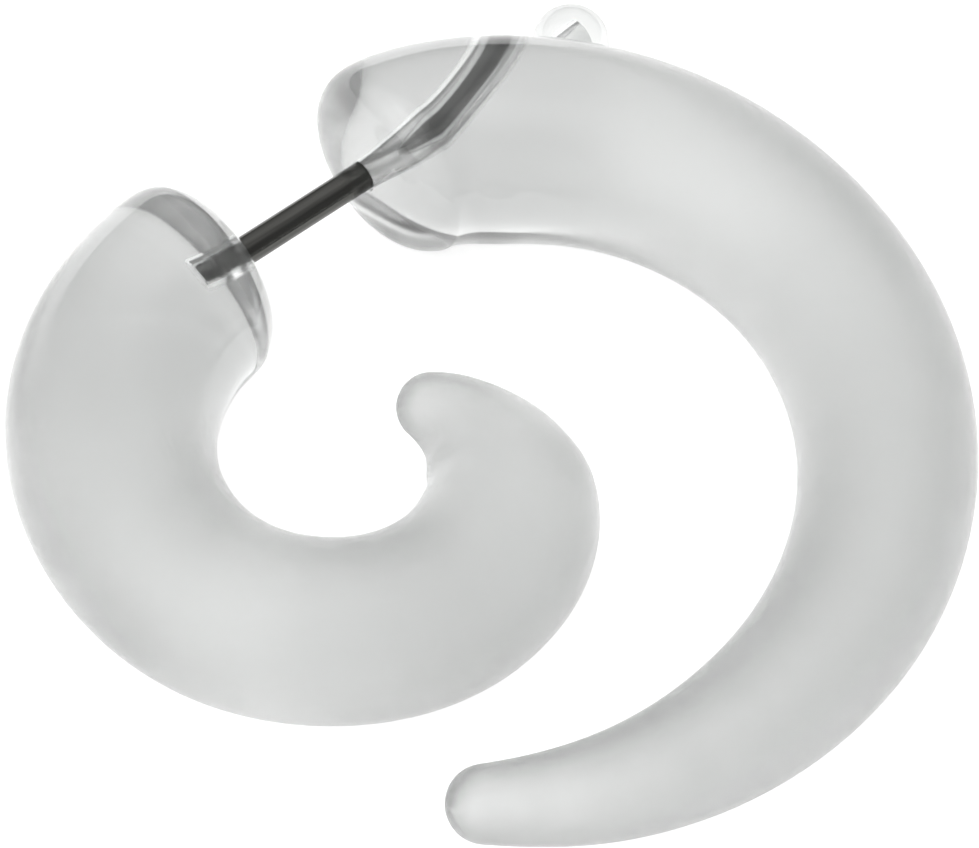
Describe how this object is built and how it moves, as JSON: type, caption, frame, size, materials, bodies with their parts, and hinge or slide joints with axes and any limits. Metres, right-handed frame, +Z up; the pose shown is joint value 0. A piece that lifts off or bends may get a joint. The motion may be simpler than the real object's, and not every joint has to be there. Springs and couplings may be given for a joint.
{
  "type": "fake gauge spiral earring",
  "caption": "Clear spiral fake gauge earring: a curled round bar, parted at a straight steel post that goes through the earlobe and kept on by a small screw ball.",
  "frame": {"origin": "bottom centre of the whole earring's box, on the surface that it lies on", "axes": "+X along the post from the front half to the back half, +Z up, square to the spiral's plane"},
  "size_m": [0.0344, 0.033, 0.0081],
  "materials": {
    "clear_acrylic": "clear, faintly milky, polished",
    "clear_ball": "clear, polished",
    "steel_post": "drawn wire, dark reflections"
  },
  "bodies": {
    "front": {"front_half": "clear_acrylic", "post": "steel_post"},
    "ball": {"ball": "clear_ball"},
    "back": {"back_half": "clear_acrylic"}
  },
  "joints": [
    {"name": "swivel", "type": "hinge", "parent": "front", "child": "ball", "pos_m": [0.01411, 0.01253, 0.00405], "axis": [1, 0, 0], "continuous": true},
    {"name": "back_slide", "type": "slide", "parent": "ball", "child": "back", "axis": [1, 0, 0], "range_m": [-0.0064, 0]}
  ]
}
